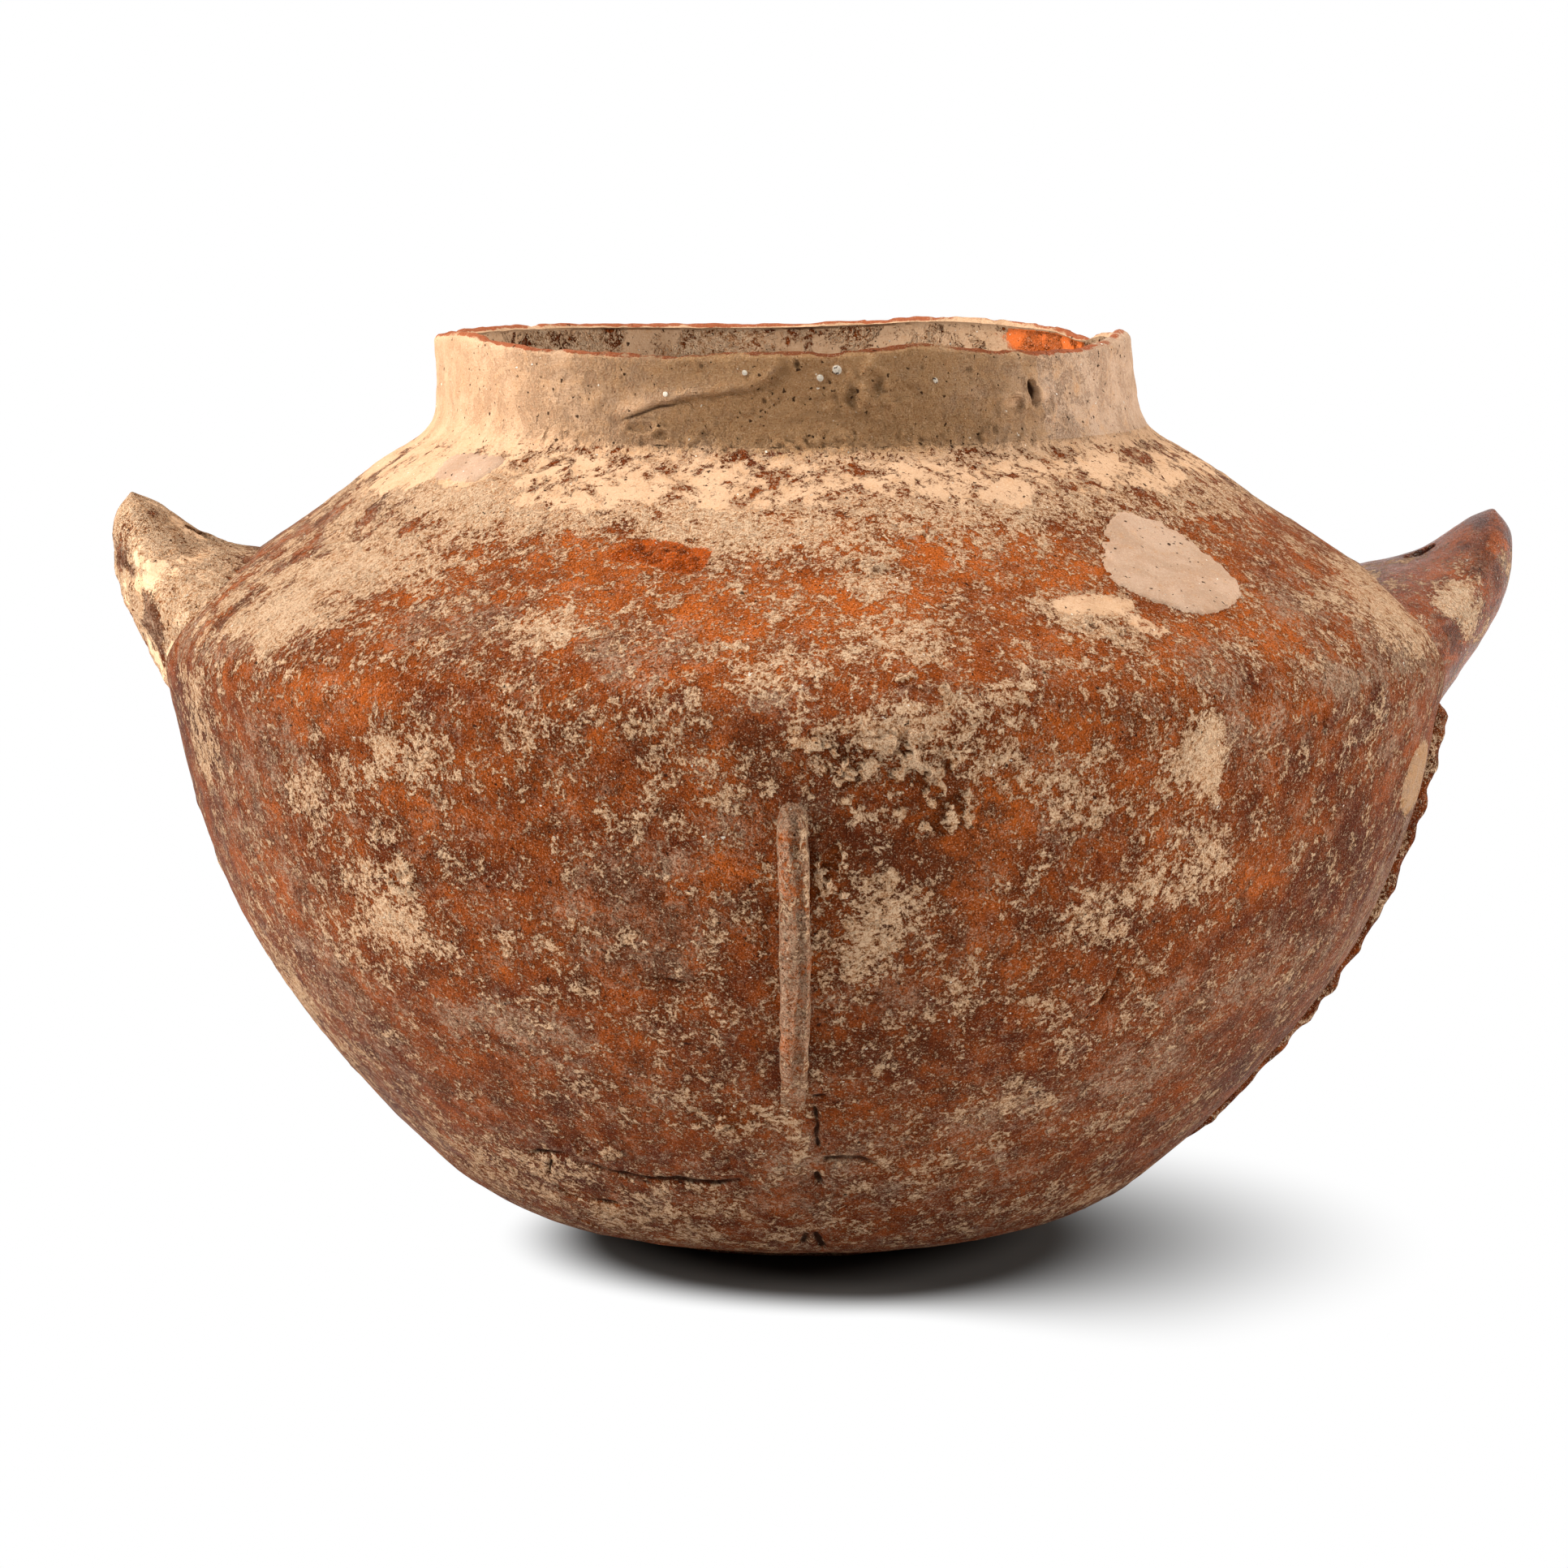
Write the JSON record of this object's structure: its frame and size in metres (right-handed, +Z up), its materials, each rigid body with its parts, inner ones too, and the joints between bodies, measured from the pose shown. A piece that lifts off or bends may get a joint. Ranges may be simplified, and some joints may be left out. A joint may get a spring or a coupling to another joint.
{
  "type": "two-handled jar",
  "caption": "Hand-built, round-bottomed earthenware jar with an upright collar neck, pierced upturned horn lugs and applied vertical ribs, for storing food and liquid.",
  "frame": {"origin": "on the surface that the jar stands on, on the axis of the bowl, inside the worn flat patch under the round base", "axes": "+Z up through the mouth, +X towards the right-hand horn lug, the front rib faces -Y"},
  "size_m": [0.3015, 0.2772, 0.1962],
  "materials": {
    "slip_red": "low-fired earthenware with a red-orange burnished slip, worn, stained brown and crusted with tan lime, satin where the slip survives",
    "crusted_slip": "the same slip under a thin cream and tan lime crust and a lilac-grey film, matt",
    "lime_tan": "bare tan clay of the collar with lime deposit, fine pits, white grits and wiping marks, matt",
    "horn_cream": "clay under thick rough cream lime with brown smears and pits, matt",
    "horn_brown": "handled and burnished clay in orange, brown and grey, slightly glossy at the tip",
    "rib_clay": "pinched clay strip, red-brown with lime in the groove, matt",
    "plaster_fill": "smooth pale cream plaster of an old repair, matt"
  },
  "bodies": {
    "root": {"base_dish": "crusted_slip", "body_wall": "slip_red", "wall_fill_right": "plaster_fill", "shoulder": "crusted_slip", "shoulder_fill": "plaster_fill", "neck_fill_left": "plaster_fill", "neck_band": "lime_tan", "rim_band": "lime_tan", "neck_fill_right": "plaster_fill", "left_horn": "horn_cream", "right_horn": "horn_brown", "front_rib": "rib_clay", "right_rib": "rib_clay", "back_rib": "rib_clay", "left_rib": "rib_clay"}
  },
  "joints": []
}
